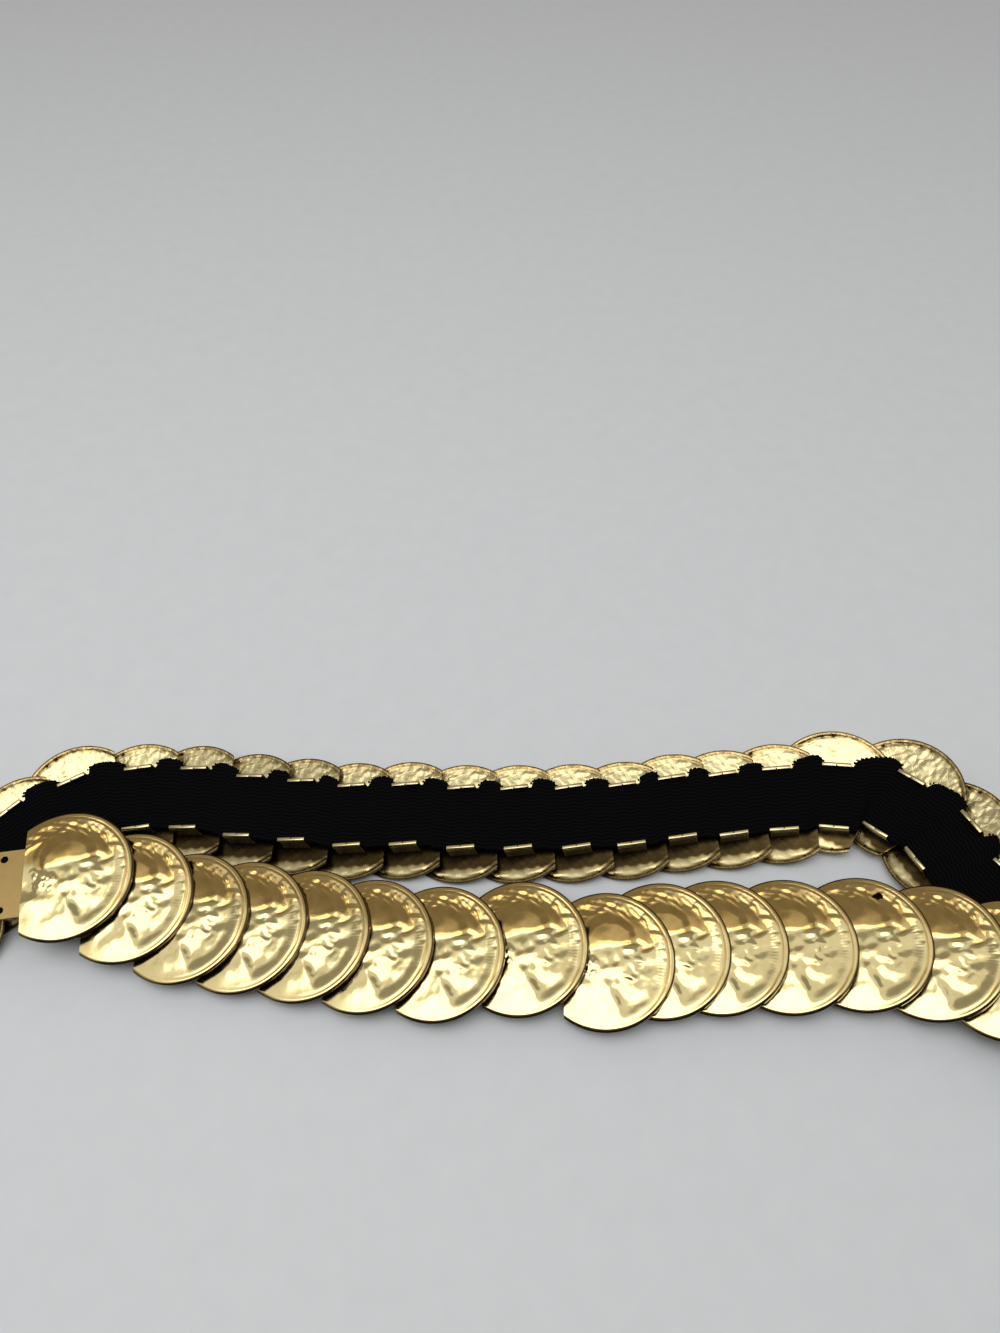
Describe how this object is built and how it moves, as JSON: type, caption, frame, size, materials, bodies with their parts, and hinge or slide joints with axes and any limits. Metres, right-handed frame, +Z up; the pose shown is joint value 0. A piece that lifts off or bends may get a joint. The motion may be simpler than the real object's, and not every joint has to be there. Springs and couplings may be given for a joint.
{
  "type": "coin belt",
  "caption": "Stretch waist belt of overlapping stamped gold-tone coins clipped on black elastic, folded and laid flat in two rows, with a holed tab and a hook plate at its ends.",
  "frame": {"origin": "middle of the belt's bounding box, at the surface it lies on", "axes": "+X along the rows toward the fold, +Y from the front row to the back row, +Z up"},
  "size_m": [0.4676, 0.1334, 0.0323],
  "materials": {
    "gold_coin": "gold-tone plated stamped sheet, bright on the relief and worn darker in the hollows",
    "black_elastic": "black woven elastic with fine lengthwise ribs",
    "gold_tab": "plain gold-tone plated plate",
    "gold_hook_plate": "plain gold-tone plated plate"
  },
  "bodies": {
    "root": {"coin_front_01": "gold_coin", "coin_front_02": "gold_coin", "coin_front_03": "gold_coin", "coin_front_04": "gold_coin", "coin_front_05": "gold_coin", "coin_front_06": "gold_coin", "coin_front_07": "gold_coin", "coin_front_08": "gold_coin", "coin_front_09": "gold_coin", "coin_front_10": "gold_coin", "coin_front_11": "gold_coin", "coin_front_12": "gold_coin", "coin_front_13": "gold_coin", "coin_front_14": "gold_coin", "coin_front_15": "gold_coin", "coin_front_16": "gold_coin", "coin_fold_17": "gold_coin", "coin_fold_18": "gold_coin", "coin_fold_19": "gold_coin", "coin_fold_20": "gold_coin", "coin_fold_21": "gold_coin", "coin_fold_22": "gold_coin", "coin_back_23": "gold_coin", "coin_back_24": "gold_coin", "coin_back_25": "gold_coin", "coin_back_26": "gold_coin", "coin_back_27": "gold_coin", "coin_back_28": "gold_coin", "coin_back_29": "gold_coin", "coin_back_30": "gold_coin", "coin_back_31": "gold_coin", "coin_back_32": "gold_coin", "coin_back_33": "gold_coin", "coin_back_34": "gold_coin", "coin_back_35": "gold_coin", "coin_bend_36": "gold_coin", "coin_bend_37": "gold_coin", "coin_bend_38": "gold_coin", "coin_bend_39": "gold_coin", "elastic": "black_elastic", "tab_with_holes": "gold_tab", "hook_plate": "gold_hook_plate"}
  },
  "joints": []
}
